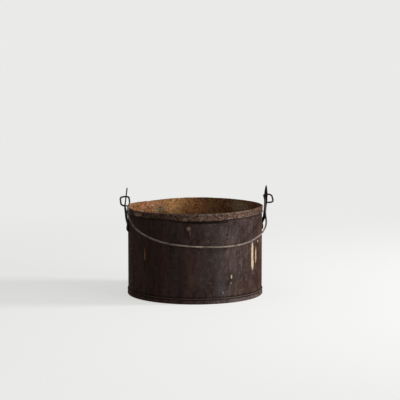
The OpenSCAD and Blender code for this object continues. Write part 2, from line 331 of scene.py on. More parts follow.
def build_wall(material):
    lap_half = math.degrees(LAP_W / 2 / WALL_R)
    edges = [LAP_AT + s * (lap_half + d) for s in (-1, 1) for d in (-0.25, -0.08, 0.08, 0.25)]
    angles = np.sort(np.concatenate([np.linspace(-180, 180, 680, endpoint=False) + 0.1, edges]))
    column = angles[:, None]
    phi = from_front(column)

    # The hem is scabbed over the middle of the front, and its ridges are crisp to the right.
    corroded = smooth(phi, -13, -6) * (1 - smooth(phi, 20, 25))
    crisp = smooth(phi, 23, 27) * (1 - 0.5 * smooth(phi, 85, 110))
    low = HEM_LOW + 1.3 * smooth(-phi, 12, 26) * (1 - smooth(-phi, 62, 80))
    edge_noise = ring_noise(column, np.zeros(1), 70, 5)
    low = low + 0.35 * edge_noise - corroded * (0.5 + np.abs(edge_noise))

    # Profile, from the bottom of the inner face, over the fold and down the outside.
    inner_z = np.concatenate([np.linspace(SHEET, 100, 24, endpoint=False),
                              np.linspace(100, FOLD_Z, 20)])
    turn = np.radians(np.linspace(180, 0, 9)[1:-1])
    hem_t = np.linspace(0, 1, 15)
    hem_z = FOLD_Z + (low + 0.5 - FOLD_Z) * hem_t
    ridge_top, ridge_low = bell(hem_t, 0.05, 0.16), bell(hem_t, 0.93, 0.13)
    hem_r = HEM_R - 0.62 * (1 - np.maximum(ridge_top, ridge_low * (0.45 + 0.55 * crisp)))
    lumps = ring_noise(column, hem_z, 150, 2.4, 2)
    hem_r = hem_r + corroded * (0.35 * lumps * smooth(hem_t, 0.1, 0.3) + 0.10)
    edge_r = np.minimum(hem_r[:, -1:], HEM_R)
    outer_t = np.concatenate([np.linspace(0, 0.2, 14, endpoint=False), np.linspace(0.2, 1, 48)])
    outer_z = low + 2.2 + (SHEET - low - 2.2) * outer_t
    lap = (np.abs(column - LAP_AT) < lap_half) * smooth(outer_z, LAP_LOW, LAP_LOW + 0.6)
    lap = lap * (1 - smooth(outer_z, LAP_HIGH - 0.6, LAP_HIGH))
    radius, z, count = stack_rings(column, [
        (WALL_R - SHEET, inner_z),
        (HEM_R - FOLD_R + FOLD_R * np.cos(turn), FOLD_Z + FOLD_R * np.sin(turn)),
        (hem_r, hem_z),
        (edge_r - 0.12, low + 0.2), (edge_r - 0.45, low + 0.02), (edge_r - 0.8, low + 0.12),
        (WALL_R + 0.42, low + 0.5), (WALL_R + 0.42, low + 2.4), (WALL_R + 0.05, low + 2.5),
        (WALL_R + LAP_RISE * lap, outer_z)])

    fold = slice(count[0], count[0] + count[1])
    hem = slice(fold.stop, fold.stop + count[2])
    inside, on_hem, ridge, dirt_and_shade = (np.zeros(radius.shape) for _ in range(4))
    inside[:, :fold.start] = 1
    inside[:, fold] = np.linspace(1, 0, count[1])
    on_hem[:, fold] = np.linspace(0, 1, count[1])
    on_hem[:, hem.start:hem.stop + 3] = 1
    ridge[:, fold] = 1
    ridge[:, hem] = np.maximum(ridge_top, ridge_low * crisp)
    # Dirt and painted shade under the hem and just above the flange.
    dirt_and_shade[:, -len(outer_t):] = np.maximum(1 - smooth(low - outer_z, 0.3, 3.2),
                                          1 - smooth(outer_z, FLANGE_H, FLANGE_H + 3))

    # Dents push the sheet inward only, and stay away from the ears and the bail's way past.
    dents = ring_noise(column, z, 9, 60, 3, 0.45)
    small = ring_noise(column, z, 60, 11, 2)
    calm = 1 - np.maximum(bell(phi, EARS_AT[0], 13), bell(phi, EARS_AT[1], 13))
    room = smooth(z, 8, 16) * calm
    push = room * (0.55 * np.clip(dents - 0.1, -1, 0) + 0.10 * np.clip(small, -1, 0))
    dent = room * sum(bell(phi, at, wide) * bell(z, middle, high) * deep
                      for at, wide, middle, high, deep in DENTS)
    radius = radius + push - dent
    scale = ring_noise(column, z, 180, 3.4, 2, 0.6)
    radius = radius + 0.10 * inside * scale * smooth(z, 2, 6)

    warp = around(RIM_WARP, phi) + 0.22 * ring_noise(column, np.zeros(1), 40, 5)
    notch = -0.7 * bell(phi, -135, 1.4) * smooth(z, 126, 131)
    z = z + warp * smooth(z, 55, 122) ** 1.5 + notch
    z = z + 0.16 * corroded * lumps.mean(1, keepdims=True) * smooth(z, 128, 131)

    points = lathe_points(column, radius, z)
    faces = grid_faces(len(angles), radius.shape[1], True, True)[:, ::-1]
    marks = {"inside": inside, "hem": on_hem, "ridge": ridge, "dirt_and_shade": dirt_and_shade}
    return make_object("wall_worn", points, faces, material, "bucket", ["wall"], marks)


# ------------------------------------------------------------------ bottom pan


def build_pan(material):
    column = np.linspace(-180, 180, 480, endpoint=False)[:, None]
    n = len(column)
    wave = ring_noise(column, np.zeros(1), 34, 5)
    top = FLANGE_H + 0.30 * wave

    floor_r = np.concatenate([[0.5], np.linspace(4, 96, 26), [98, 99.3, PAN_R]])
    under_r = np.linspace(98.8, 0.5, 26)
    out_t = np.linspace(0, 1, 14)
    bead = bell(out_t, 0.07, 0.10) * 0.25 - bell(out_t, 0.27, 0.10) * 0.28
    corner = np.radians(np.linspace(0, 90, 6)[1:])
    radius, z, count = stack_rings(column, [
        (floor_r, SHEET), (PAN_R, 4),
        (PAN_R, top - 0.6), (PAN_R + 0.05, top - 0.15), (PAN_R + 0.45, top),
        (PAN_R + SHEET + bead, top - 0.3 + (SHEET - top + 0.3) * out_t),
        (PAN_R + np.cos(corner), SHEET - np.sin(corner)),
        (under_r, 0)])

    floor, under = np.zeros(radius.shape), np.zeros(radius.shape)
    floor[:, :count[0]] = 1
    under[:, -count[-1]:] = 1
    edge = (1 - floor) * (1 - under)
    a = np.radians(column)
    x, y = radius * np.cos(a), radius * np.sin(a)
    buckle = np.sin(x / 17 + 1.3) * np.cos(y / 21 + 0.4) + 0.5 * np.sin(x / 8 + y / 11)
    buckle = np.maximum(0.5 * buckle + 0.5, 0)
    z = z + (floor + under) * 0.45 * buckle * smooth(94 - radius, 0, 18)
    crush = edge * smooth(z, 1.0, 4.0) * (0.10 * wave - 0.10)
    radius = radius + crush * (radius > PAN_R + 0.3)

    points = lathe_points(column, radius, z)
    rows = radius.shape[1]
    faces = list(grid_faces(n, rows))
    faces.append(np.arange(n)[::-1] * rows)
    faces.append(np.arange(n) * rows + rows - 1)
    faces = [f[::-1] for f in faces]
    # On the flange: the line for the pale top edge, and dirt and painted shade in its groove.
    marks = {"inside": floor, "ridge": edge * bell(z, FLANGE_H - 0.4, 1.0),
             "dirt_and_shade": edge * bell(z, FLANGE_H - 2.3, 0.9)}
    return make_object("bottom_pan_worn", points, faces, material, "bucket",
                       ["bottom_pan"], marks)


# ------------------------------------------------------------------ ears


def build_ear(name, node, side, hole_at, lean, twist, belly, turned, material):
    """Forged strap with a leaf-shaped head, riveted to the wall. side is 1 right, -1 left.

    hole_at is how far out the hole is, lean and twist are the head's angles in degrees, belly
    is how far the strap bulges out below the hem, and turned is how far the front edge of the
    strap is bent in towards the wall.
    """
    # Rows of points up the strap, close together where its outline turns.
    turn = np.linspace(0, 180, 17)
    rows = np.concatenate([
        FOOT_LOW + np.array([0, 0.12, 0.35, 0.7]),
        np.linspace(FOOT_LOW + 1.3, FOOT_TOP - 1.2, 8),
        np.linspace(FOOT_TOP - 0.8, FOOT_TOP + 1.4, 8), np.linspace(FOOT_TOP + 2.4, 142.8, 34),
        [143.5], PIVOT_Z - HOLE_R * np.cos(np.radians(turn)), [149.1],
        np.linspace(150, TIP_Z - 1.2, 12), TIP_Z - np.array([0.7, 0.35, 0.12, 0.02])])

    # Half width of each row, and half width of the hole in it.
    strap = STRAP_HALF + FOOT_EXTRA * (1 - smooth(rows, FOOT_TOP - 0.8, FOOT_TOP + 1.6))
    foot_round = 1 - np.clip(1 - (rows - FOOT_LOW) / 1.6, 0, 1) ** 2
    strap = strap - 1.6 * (1 - np.sqrt(np.clip(foot_round, 0.02, 1)))
    arc_r = ((HEAD_L / 2) ** 2 + (HEAD_W / 2) ** 2) / HEAD_W
    off_middle = rows - (TIP_Z - HEAD_L / 2)
    leaf = np.sqrt(np.clip(arc_r ** 2 - off_middle ** 2, 0, None)) - (arc_r - HEAD_W / 2)
    leaf = np.maximum(leaf, 0.03)
    blend = smooth(rows, KNEE_Z - 6, KNEE_Z + 2)
    half = np.where(rows > KNEE_Z + 1, leaf, strap * (1 - blend) + leaf * blend)
    nick = 0.25 * np.interp(rows, np.linspace(90, 165, 40), rng.uniform(-1, 0.3, 40))
    half = np.maximum(half + nick * smooth(TIP_Z - rows, 0, 6), 0.03)
    gap = np.sqrt(np.clip(HOLE_R ** 2 - (rows - PIVOT_Z) ** 2, 0, None))
    gap[np.abs(rows - PIVOT_Z) >= HOLE_R - 1e-6] = 0

    # Centreline, seen from the front: up the wall, out over the hem, then along the lean.
    tan_lean = math.tan(math.radians(lean))
    knee_x = hole_at + (PIVOT_Z - KNEE_Z) * tan_lean
    foot_x = WALL_R + 0.07 + EAR_T / 2
    belly_h = (FOOT_TOP + HEM_LOW) / 2
    belly_x = belly + foot_x + (knee_x - foot_x) * (belly_h - FOOT_TOP) / (KNEE_Z - FOOT_TOP)
    path_h = np.linspace(FOOT_LOW, TIP_Z, 400)
    path_x = np.interp(path_h, [FOOT_LOW, FOOT_TOP, belly_h, KNEE_Z, TIP_Z],
                       [foot_x, foot_x, belly_x, knee_x, knee_x - (TIP_Z - KNEE_Z) * tan_lean])
    kernel = np.hanning(29)
    kernel /= kernel.sum()
    path_x = np.pad(path_x, len(kernel) // 2, mode="reflect", reflect_type="odd")
    path_x = np.convolve(path_x, kernel, "valid")

    def thickness_at(w, h):
        """Half thickness, rounded off towards the outline and the hole."""
        near = min(np.interp(h, rows, half) - abs(w), h - FOOT_LOW)
        away = math.hypot(w, h - PIVOT_Z) - HOLE_R
        near = max(0.0, min(near, away, (TIP_Z - h) * 0.9))
        return EAR_T / 2 * math.sqrt(max(0.0, 1 - (1 - min(near / 0.75, 1)) ** 2))

    def place(w, h, d):
        """World point of the strap at w across, h up and d out from its middle sheet."""
        x = np.interp(h, path_h, path_x)
        slope = (np.interp(h + 0.2, path_h, path_x) - np.interp(h - 0.2, path_h, path_x)) / 0.4
        flat = smooth(h, FOOT_TOP + 1, FOOT_TOP + 12)
        round_x = math.sqrt(x * x - w * w) - x
        x += round_x * (1 - flat) + d / math.sqrt(1 + slope ** 2)
        bent = smooth(h, FOOT_TOP, FOOT_TOP + 6) * (1 - smooth(h, KNEE_Z - 9, KNEE_Z - 1))
        x -= turned * bent * (STRAP_HALF - w) / (2 * STRAP_HALF)
        z = h - d * slope / math.sqrt(1 + slope ** 2)
        a = math.radians(twist) * smooth(h, KNEE_Z - 4, KNEE_Z + 5)
        rx = x - knee_x
        x, y = knee_x + rx * math.cos(a) - w * math.sin(a), rx * math.sin(a) + w * math.cos(a)
        return (side * x, y, z)

    points, index = [], {}

    def vertex(k, w, d):
        key = (k, round(w, 5), round(d, 5))
        if key not in index:
            index[key] = len(points)
            bow = 0.12 * math.sin(rows[k] / 5.1 + w / 3.7)
            points.append(place(w, rows[k], d + bow * min(1.0, abs(d) + 0.4) * 0.5))
        return index[key]

    # Columns from the outer edge of one half to its inner edge, close together at both.
    t = np.array([0, 0.012, 0.04, 0.09, 0.18, 0.32, 0.5, 0.68, 0.82, 0.91, 0.96, 0.988, 1.0])
    faces = []
    for which in (-1, 1):
        for face in (-1, 1):
            lines = []
            for k, h in enumerate(rows):
                outer, inner = half[k], min(gap[k], half[k])
                across = [which * (outer + (inner - outer) * c) for c in t]
                lines.append([vertex(k, w, face * thickness_at(w, h)) for w in across])
            for a, b in zip(lines, lines[1:]):
                for c in range(len(t) - 1):
                    quad = [a[c], a[c + 1], b[c + 1], b[c]]
                    if which * face * side > 0:
                        quad.reverse()
                    quad = [q for q, p in zip(quad, [quad[-1]] + quad) if q != p]
                    if len(set(quad)) >= 3:
                        faces.append(quad)
    return make_object(name, points, faces, material, "bucket", [node])


# ------------------------------------------------------------------ rivets


def build_rivet(name, node, side, along, material):
    """Domed head outside, hammered tail inside. along is -1 for the front one, 1 for the back."""
    head_at, tail_at = WALL_R + 0.05 + EAR_T, 98.67
    head_r, head_h, shank_r, tail_r, tail_h = 3.8, 0.78, 2.0, 3.2, 0.9
    profile = [(head_r * math.cos(a), head_at + head_h * math.sin(a))
               for a in np.radians(np.linspace(90, 0, 12))]
    profile[0] = (0.05, head_at + head_h)
    profile += [(head_r - 0.1, head_at - 0.06), (shank_r, head_at - 0.1),
                (shank_r, tail_at + 0.05), (tail_r - 0.1, tail_at)]
    profile += [(tail_r * math.cos(a), tail_at - tail_h * math.sin(a))
                for a in np.radians(np.linspace(15, 88, 9))]
    profile = np.array(profile)
    steps, rows = 40, len(profile)
    turn = np.linspace(0, 360, steps, endpoint=False)[:, None]
    rough = ring_noise(turn, profile[:, 1], 7, 1.5, 2)
    r = profile[:, 0] * (1 + 0.05 * np.clip(rough, -1, 0))
    dome = smooth(profile[:, 1], head_at + 0.1, head_at + 0.6)
    h = profile[:, 1] - 0.16 * dome * np.abs(rough)
    a = np.radians(turn)
    u, v = r * np.cos(a), r * np.sin(a)
    points = np.stack([side * h, along * RIVET_Y + side * u, RIVET_Z + v], -1).reshape(-1, 3)
    faces = list(grid_faces(steps, rows)[:, ::-1])
    faces.append(np.arange(steps) * rows)
    faces.append(np.arange(steps)[::-1] * rows + rows - 1)
    return make_object(name, points, faces, material, "bucket", [node])


# ------------------------------------------------------------------ bail


def bail_path():
    """Centreline of the wire in the bail's own plane, as in part.scad: x outward, y along it."""
    fall = math.radians(BAIL_FALL)
    pivot_rise, tip_rise = PIVOT_Z - BODY_H, TIP_Z - BODY_H
    rim_reach = pivot_rise / math.cos(fall)
    kink = tip_rise - pivot_rise + 1
    rim_drop = (pivot_rise - WIRE_R) * math.tan(fall)
    leg_u = math.sqrt((HEM_R + WIRE_R + 0.5) ** 2 - rim_drop ** 2)
    grip_bend, grip_off = 236.0, 13.5
    clear = WALL_R + WIRE_R + 0.5
    share = clear * math.sin(fall) / grip_bend
    grip_v = math.hypot(clear, grip_off * math.sqrt(share / (1 - share))) / math.sin(fall)

    def tan(degrees):
        return math.tan(math.radians(degrees))

    def corners(leg_at, eye_w, eye_l, flare, tuck, shoulder, slope, grip):
        """One side, from the end of the eye's wire to the shoulder's second corner."""
        rim_u = leg_u + flare
        leg_slope = (rim_u - leg_at) / (rim_reach - kink)
        eye_end = (leg_at + leg_slope * (eye_l - kink)
                   + WIRE_R * (math.hypot(1, leg_slope) + abs(leg_slope)) + 0.3)
        low_u = rim_u - tuck
        low_v = grip[1] - (low_u - grip[0]) * tan(slope)
        cut = shoulder / (1 - tan(slope))
        return [(eye_end, eye_l), (leg_at + eye_w, eye_l), (leg_at + eye_w, 0), (leg_at, 0),
                (leg_at, kink), (rim_u, rim_reach), (low_u, low_v - shoulder),
                (low_u - cut, low_v - shoulder + cut)]

    left_slope, right_slope = 13.5, 5.5
    half = math.radians((left_slope + right_slope) / 2)
    skew = math.radians((right_slope - left_slope) / 2)
    grip = (grip_off + grip_bend * math.sin(skew) / math.cos(half),
            grip_v + grip_bend * (math.cos(skew) / math.cos(half) - 1))
    left = corners(leg_at=LEFT_HOLE - 4.2, eye_w=13.2, eye_l=21.5, flare=2.4, tuck=0,
                   shoulder=27.7, slope=left_slope, grip=(-grip[0], grip[1]))
    right = corners(leg_at=RIGHT_HOLE - 3.6, eye_w=12.1, eye_l=19.5, flare=0.2, tuck=4.4,
                    shoulder=31, slope=right_slope, grip=grip)
    points = [np.array((-x, y)) for x, y in left] + [np.array(grip)]
    points += [np.array(p) for p in right[::-1]]
    eye = [0, 5.4, 5.4, 3, 10, 24]
    bends = eye + [62, 88, grip_bend] + (eye + [57, 72])[::-1]

    # Each corner becomes an arc of its own bend radius.
    path = [points[0]]
    for before, here, after, r in zip(points, points[1:], points[2:], bends[1:]):
        a, b = ((q - p) / np.linalg.norm(q - p) for p, q in ((before, here), (here, after)))
        half_turn = math.acos(min(1.0, float(a @ b))) / 2
        hand = math.copysign(1, a[0] * b[1] - a[1] * b[0])
        start = here - a * (r * math.tan(half_turn))
        centre = start + hand * r * np.array((-a[1], a[0]))
        vx, vy = start - centre
        steps = max(4, int(r * 2 * half_turn / 1.6))
        for s in np.linspace(0, 2 * half_turn * hand, steps):
            path.append(centre + np.array((vx * math.cos(s) - vy * math.sin(s),
                                           vx * math.sin(s) + vy * math.cos(s))))
    path.append(points[-1])
    return np.array(path)


def build_bail(material):
    path = bail_path()
    steps = np.linalg.norm(np.diff(path, axis=0), axis=1)
    length = np.concatenate([[0], np.cumsum(steps)])
    keep = np.concatenate([[True], np.diff(length) > 0.02])
    path, length = path[keep], length[keep]
    s = np.linspace(0, length[-1], int(length[-1] / 1.1))
    line = np.stack([np.interp(s, length, path[:, 0]), np.interp(s, length, path[:, 1])], 1)
    way = np.gradient(line, axis=0)
    way /= np.linalg.norm(way, axis=1, keepdims=True)

    # The wire is worn and pitted along its length, and its two ends are rounded.
    sides = 20
    turn = np.radians(np.linspace(0, 360, sides, endpoint=False))
    worn = np.interp(s, np.linspace(0, s[-1], 90), rng.uniform(-0.06, 0.0, 90))
    to_end = 1 - np.clip(1 - np.minimum(s, s[-1] - s) / 0.9, 0, 1) ** 2
    ends = np.sqrt(np.clip(to_end, 0.03, 1))
    pits = rng.uniform(-0.05, 0.0, (len(s), sides))
    r = ((WIRE_R + worn) * ends)[:, None] + pits * ends[:, None]

    # In the bail's plane the normal is across the wire; w is out of the plane.
    u = line[:, None, 0] - way[:, None, 1] * r * np.cos(turn)
    v = line[:, None, 1] + way[:, None, 0] * r * np.cos(turn)
    w = r * np.sin(turn)
    tilt = math.radians(270 - BAIL_FALL)
    y = v * math.cos(tilt) - w * math.sin(tilt)
    z = PIVOT_Z + v * math.sin(tilt) + w * math.cos(tilt)
    points = np.stack([u, y, z], -1).reshape(-1, 3)
    faces = list(np.roll(grid_faces(len(s), sides, False, True)[:, ::-1], 1, axis=1))
    faces.append(np.arange(sides)[::-1])
    faces.append(np.arange(sides) + (len(s) - 1) * sides)
    return make_object("bail_wire", points, faces, material, "bail", ["bail"])


# ------------------------------------------------------------------ marks on the sheet

# Each mark: angle from the front, height, half width and half height in mm, strength, colour.

# Broad stains on the outside. The first, a grey band right of the front, is partly worn scale and
# partly a painted sheen.
STAINS_AND_SHEEN = (
    (20, 62, 11, 46, 0.45, (0.088, 0.072, 0.068)), (24, 103, 7, 8, 0.30, (0.100, 0.083, 0.080)),
    (22, 24, 9, 13, 0.45, (0.074, 0.068, 0.074)), (-12, 40, 6, 34, 0.55, (0.026, 0.021, 0.017)),
    (-38, 60, 24, 60, 0.20, (0.045, 0.018, 0.015)), (52, 60, 14, 50, 0.38, (0.046, 0.029, 0.025)),
    (72, 55, 9, 60, 0.40, (0.130, 0.068, 0.046)), (-62, 52, 18, 46, 0.30, (0.092, 0.044, 0.031)),
    (-1.6, 62, 9, 10, 0.35, (0.095, 0.042, 0.032)), (-2.5, 34, 7, 8, 0.45, (0.115, 0.066, 0.048)),
    (45, 20, 26, 10, 0.35, (0.085, 0.046, 0.033)), (6, 85, 10, 8, 0.3, (0.075, 0.040, 0.032)),
    (10, 104, 10, 10, 0.3, (0.095, 0.072, 0.066)), (8, 52, 9, 34, 0.45, (0.094, 0.072, 0.070)),
    (-4, 48, 5, 30, 0.3, (0.080, 0.046, 0.038)))
# Left paint and bright rust on the outside.
CHIPS = (
    (57.1, 65, 2.7, 19.5, 1.0, (0.62, 0.47, 0.31)), (57.4, 52, 3.2, 8.5, 0.95, (0.58, 0.43, 0.28)),
    (63.1, 64, 2.2, 11.5, 0.9, (0.50, 0.36, 0.22)),
    (67.1, 83.6, 2.0, 1.7, 0.9, (0.40, 0.27, 0.17)),
    (-46.9, 67, 1.3, 8.5, 0.9, (0.42, 0.17, 0.060)),
    (31.8, 38.3, 1.4, 3.0, 0.95, (0.46, 0.37, 0.27)),
    (31.5, 28.9, 1.2, 1.6, 0.8, (0.22, 0.21, 0.22)),
    (24.0, 15.7, 1.3, 1.5, 0.8, (0.22, 0.21, 0.22)),
    (-5.2, 110.1, 2.6, 3.2, 0.9, (0.32, 0.20, 0.13)),
    (-4.1, 103, 1.3, 5.0, 0.6, (0.20, 0.115, 0.080)))
HEM_MARKS = (
    (-56, 125.2, 10.0, 2.3, 1.0, (0.46, 0.32, 0.22)),
    (-40, 121.5, 1.8, 2.4, 0.7, (0.13, 0.105, 0.095)),
    (-28, 126, 12, 2.4, 0.5, (0.13, 0.080, 0.055)),
    (-8, 123.5, 3.4, 2.6, 0.9, (0.26, 0.160, 0.110)),
    (8, 125.6, 12.0, 3.0, 0.5, (0.22, 0.140, 0.105)),
    (21.7, 121.0, 4.6, 1.5, 1.0, (0.44, 0.170, 0.050)),
    (6.5, 120.4, 4.0, 1.2, 0.9, (0.34, 0.135, 0.045)),
    (-17, 122.5, 6.0, 1.2, 0.6, (0.20, 0.100, 0.055)),
    (-58, 124.6, 7.0, 1.4, 0.8, (0.50, 0.34, 0.23)),
    (62.7, 131.0, 3.6, 1.2, 0.9, (0.40, 0.14, 0.06)), (45, 127, 14, 2.2, 0.5, (0.17, 0.085, 0.06)))
# Stains on the inside. The pale olive one at 136 degrees, on the side in shade, is partly a stain
# and partly painted light.
INSIDE_STAINS_AND_LIGHT = (
    (-133, 126, 2.6, 3.4, 0.85, (0.50, 0.150, 0.095)),
    (-126, 123, 3.4, 3.0, 0.7, (0.46, 0.150, 0.090)),
    (-147, 115, 8, 6, 0.75, (0.140, 0.115, 0.066)),
    (-150, 125, 11, 4.5, 0.45, (0.34, 0.130, 0.060)),
    (-114, 122, 12, 10, 0.55, (0.17, 0.070, 0.026)),
    (-163, 118, 15, 16, 0.60, (0.56, 0.30, 0.110)), (180, 116, 16, 14, 0.7, (0.50, 0.220, 0.085)),
    (158, 118, 14, 14, 0.55, (0.28, 0.135, 0.060)), (136, 121, 20, 9, 0.85, (0.47, 0.365, 0.225)),
    (124, 129, 6, 3, 0.7, (0.34, 0.15, 0.05)))

# ------------------------------------------------------------------ materials


def sheet_outside(m, streak, broad, mottle, fine):
    """Dark scaled iron, browner and darker on the left and greyer and lighter on the right, partly
    painted light.
    """
    # turn goes from 0 left of the front to 1 right of it. The tones, pale runs, pale blots, light
    # smudges and flange colour that follow it are partly the iron's own tone and partly painted
    # light from the right, with painted shade on the left.
    uneven = m.times(m.centred(broad), 0.05)
    turn = m.ramp(m.plus(m.across(0)[0], uneven), -0.022, 0.040)
    warm = m.mix(turn, (0.068, 0.036, 0.031), (0.068, 0.0395, 0.035))
    cool = m.mix(turn, (0.048, 0.034, 0.030), (0.047, 0.034, 0.031))
    colour = m.mix(m.ramp(streak, 0.40, 0.62), warm, cool)
    colour = m.mix(m.ramp(broad, 0.42, 0.70, 0, 0.45), colour, (0.028, 0.014, 0.012))
    colour = m.mix(m.ramp(mottle, 0.50, 0.72, 0, 0.40), colour, (0.100, 0.056, 0.045))
    colour = m.mix(m.ramp(fine, 0.58, 0.72, 0, 0.5), colour, (0.11, 0.048, 0.026))

    # Dark and pale runs, then dark and pale blots.
    runs = m.noise(150, 5, 0.65, 0.5, m.upright(0.22))
    colour = m.mix(m.ramp(runs, 0.52, 0.64, 0, 0.55), colour, (0.018, 0.012, 0.0105))
    pale = m.times(m.ramp(runs, 0.44, 0.34), m.plus(m.times(turn, 0.45), 0.2))
    colour = m.mix(pale, colour, (0.120, 0.090, 0.080))
    blots = m.noise(150, 6, 0.70, 0.25)
    colour = m.mix(m.ramp(blots, 0.54, 0.68, 0, 0.55), colour, (0.018, 0.012, 0.010))
    pale = m.times(m.ramp(blots, 0.49, 0.37), m.plus(m.times(turn, 0.5), 0.2))
    colour = m.mix(pale, colour, (0.125, 0.089, 0.076))

    colour = m.marked(colour, STAINS_AND_SHEEN, 1.4, 0.6, 110)
    smudge = m.noise(34, 4, 0.55, 0.4, m.upright(0.45))
    colour = m.mix(m.ramp(smudge, 0.52, 0.64, 0, 0.7), colour, (0.66, 0.62, 0.60), "MULTIPLY")
    lift = m.times(m.ramp(smudge, 0.49, 0.36), m.plus(m.times(turn, 0.8), 0.10))
    colour = m.mix(lift, colour, (0.036, 0.028, 0.0265), "ADD")
    shadow = m.times(m.patch(40, 110, 19, 12, 1.2, 0.5, 110), 0.9)
    colour = m.mix(shadow, colour, (0.66, 0.66, 0.68), "MULTIPLY")
    # Painted shade: the left and right sides of the body, where they turn away from the front, are
    # darkened.
    for angle, shade in ((84, (0.62, 0.52, 0.47)), (-82, (0.72, 0.66, 0.62))):
        edge = m.ramp(m.across(angle)[1], 0.086, 0.0985)
        colour = m.mix(edge, colour, shade, "MULTIPLY")
    worn = m.ramp(m.noise(480, 4, 0.65), 0.64, 0.54, 0.25, 1.0)
    colour = m.marked(colour, CHIPS, 0.5, 0.5, 300, worn)

    flange = m.times(m.ramp(m.height(), 0.0092, 0.0080), m.ramp(mottle, 0.62, 0.42), 0.6)
    colour = m.mix(flange, colour, m.mix(turn, (0.115, 0.062, 0.050), (0.150, 0.115, 0.105)))
    pit = m.patch(28.2, 100.1, 1.7, 2.0, 0.7, 0.3, 400)
    return m.mix(m.times(pit, 0.85), colour, (0.012, 0.009, 0.008))


def sheet_hem(m, ridge):
    """Scabbed and orange in the middle of the front, with pale ridges on the right, partly rubbed
    and partly painted highlight.
    """
    scab = m.noise(260, 5, 0.65, 0.5)
    pale = m.ramp(m.noise(120, 5, 0.65), 0.40, 0.62)
    colour = m.mix(pale, (0.105, 0.062, 0.047), (0.200, 0.130, 0.098))
    colour = m.mix(m.ramp(scab, 0.48, 0.60, 0, 0.85), colour, (0.026, 0.016, 0.012))
    orange = m.ramp(m.noise(210, 4, 0.6), 0.60, 0.70, 0, 0.7)
    colour = m.mix(orange, colour, (0.19, 0.080, 0.038))
    # Pale ridges: partly rubbed, partly a painted highlight.
    rubbed_and_highlit = m.times(m.ramp(ridge, 0.45, 0.95), m.ramp(scab, 0.62, 0.40))
    colour = m.mix(rubbed_and_highlit, colour, (0.22, 0.170, 0.148))
    colour = m.marked(colour, HEM_MARKS, 0.7, 0.5, 330)
    crack = m.noise(400, 5, 0.7, 0.3)
    colour = m.mix(m.ramp(crack, 0.52, 0.60, 0, 0.8), colour, (0.26, 0.21, 0.19), "MULTIPLY")
    colour = m.mix(m.ramp(crack, 0.47, 0.38, 0, 0.9), colour, (0.150, 0.078, 0.050), "ADD")
    # Painted shade on the far right of the hem, as on the wall's sides.
    far_right_shade = m.ramp(m.across(84)[1], 0.074, 0.0985)
    colour = m.mix(far_right_shade, colour, (0.54, 0.53, 0.53), "MULTIPLY")
    left = m.patch(-24, 125, 17, 9, 1.0, 0.4, 110)
    return m.mix(left, colour, (0.78, 0.73, 0.72), "MULTIPLY")


def sheet_inside(m, mottle, grit):
    """Bright mottled rust, with pink, grey-green and yellowish stains; the pale olive one is
    partly painted light.
    """
    red, tan, brown = (0.200, 0.082, 0.036), (0.300, 0.155, 0.076), (0.105, 0.046, 0.022)
    colour = m.mix(m.ramp(m.noise(60, 5, 0.6, 0.4), 0.38, 0.62), red, tan)
    colour = m.mix(m.ramp(m.noise(34, 4, 0.6), 0.50, 0.68, 0, 0.7), colour, brown)
    colour = m.mix(m.ramp(mottle, 0.52, 0.68, 0, 0.7), colour, (0.38, 0.22, 0.13))
    runs = m.noise(90, 5, 0.6, 0.2, m.upright(0.16))
    colour = m.mix(m.ramp(runs, 0.55, 0.66, 0, 0.45), colour, (0.30, 0.20, 0.085))
    colour = m.marked(colour, INSIDE_STAINS_AND_LIGHT, 1.0, 0.6, 170)
    scales = m.noise(190, 5, 0.7, 0.5)
    colour = m.mix(m.ramp(scales, 0.54, 0.62, 0, 0.55), colour, (0.34, 0.25, 0.20), "MULTIPLY")
    colour = m.mix(m.ramp(scales, 0.44, 0.38, 0, 0.55), colour, (0.15, 0.075, 0.030), "ADD")
    speck = m.noise(430, 3, 0.7)
    where = m.ramp(m.noise(75, 4, 0.6), 0.40, 0.60, 0.35, 1.0)
    dark = m.times(m.ramp(speck, 0.52, 0.60, 0, 0.9), where)
    colour = m.mix(dark, colour, (0.30, 0.24, 0.20), "MULTIPLY")
    bright = m.times(m.ramp(speck, 0.46, 0.38, 0, 0.95), where)
    colour = m.mix(bright, colour, (0.19, 0.110, 0.045), "ADD")
    return m.mix(m.ramp(grit, 0.10, 0.0, 0, 0.5), colour, (0.07, 0.035, 0.022))


